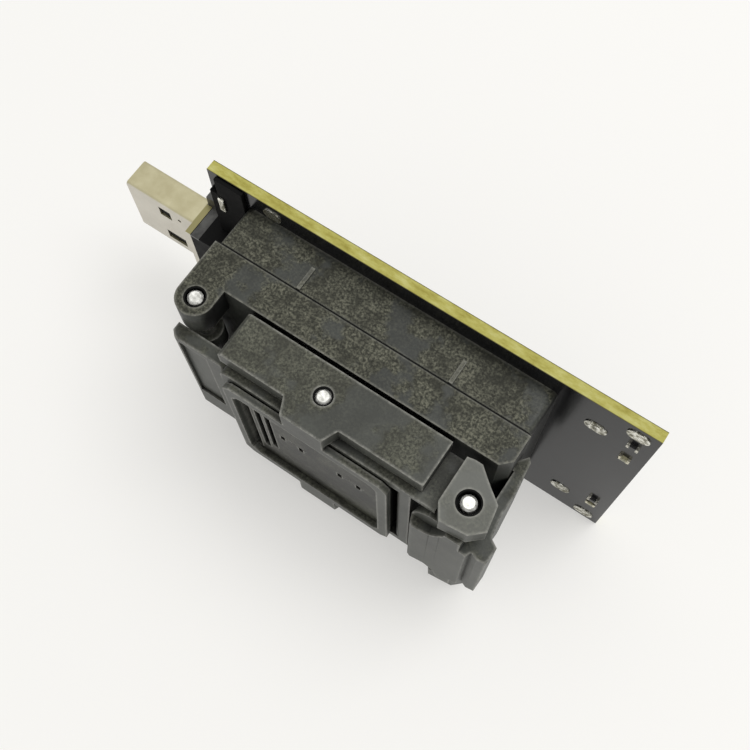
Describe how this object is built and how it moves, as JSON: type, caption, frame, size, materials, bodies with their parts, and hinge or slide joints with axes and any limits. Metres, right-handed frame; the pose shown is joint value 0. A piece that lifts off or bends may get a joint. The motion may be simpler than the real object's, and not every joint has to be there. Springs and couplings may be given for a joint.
{
  "type": "emmc test socket",
  "caption": "Clamshell test socket for a ball grid memory chip, on a circuit board with a USB plug, with hinged lid, sprung latch, rocking pressure block and floating chip nest.",
  "frame": {"origin": "Centre of the USB plug's mouth, in the plane of the board's component face.", "axes": "+X from the plug along the board to its free end, -Y out of the board's component face towards the lid, +Z across the board, up as the object stands in the picture."},
  "size_m": [0.082, 0.025, 0.0414],
  "materials": {
    "board_black": "black solder mask with a yellow cut edge",
    "solder": "bright tin",
    "steel": "satin steel",
    "plug_metal": "nickel plated sheet",
    "gold": "gold plated",
    "plug_black": "moulded black",
    "socket_plastic": "glass filled moulding, scuffed",
    "nest_plastic": "moulded",
    "chip_black": "moulded package",
    "led_lens": "clear lens on a pale base",
    "capacitor_tan": "ceramic",
    "pusher_metal": "machined"
  },
  "bodies": {
    "base": {"board": "board_black", "solder_pads": "solder", "locating_pins": "steel", "usb_shell": "plug_metal", "usb_contacts": "gold", "usb_body": "plug_black", "usb_legs": "plug_metal", "lower_base": "socket_plastic", "body_screws": "steel", "upper_base": "socket_plastic", "hinge_pin": "steel", "contact_probes": "gold", "probe_plate": "socket_plastic", "nest_springs": "steel", "hinge_spring": "steel", "chip_resistors": "chip_black", "status_leds": "led_lens", "controller_chip": "chip_black", "crystal": "plug_metal", "back_capacitors": "capacitor_tan"},
    "lid": {"lid_frame": "socket_plastic", "block_pin": "steel", "latch_pin": "steel", "latch_springs": "steel"},
    "latch": {"latch": "socket_plastic"},
    "pressure_block": {"pressure_block": "socket_plastic", "pusher_plate": "pusher_metal", "pusher_screws": "steel"},
    "nest": {"chip_nest": "nest_plastic"}
  },
  "joints": [
    {"name": "lid_hinge", "type": "hinge", "parent": "base", "child": "lid", "pos_m": [0.0243, -0.0142, 0], "axis": [0, 0, -1], "range_deg": [0, 95]},
    {"name": "latch_pivot", "type": "hinge", "parent": "lid", "child": "latch", "pos_m": [0.067, -0.0174, 0], "axis": [0, 0, -1], "range_deg": [0, 6.5], "stiffness_Nm_per_rad": 0.02, "springref_deg": -20.05},
    {"name": "block_rock", "type": "hinge", "parent": "lid", "child": "pressure_block", "pos_m": [0.04535, -0.0161, 0], "axis": [0, 0, -1], "range_deg": [-0.5, 0.5]},
    {"name": "nest_float", "type": "slide", "parent": "base", "child": "nest", "axis": [0, 1, 0], "range_m": [0, 0.0005], "stiffness_N_per_m": 500, "springref_m": -0.001}
  ]
}
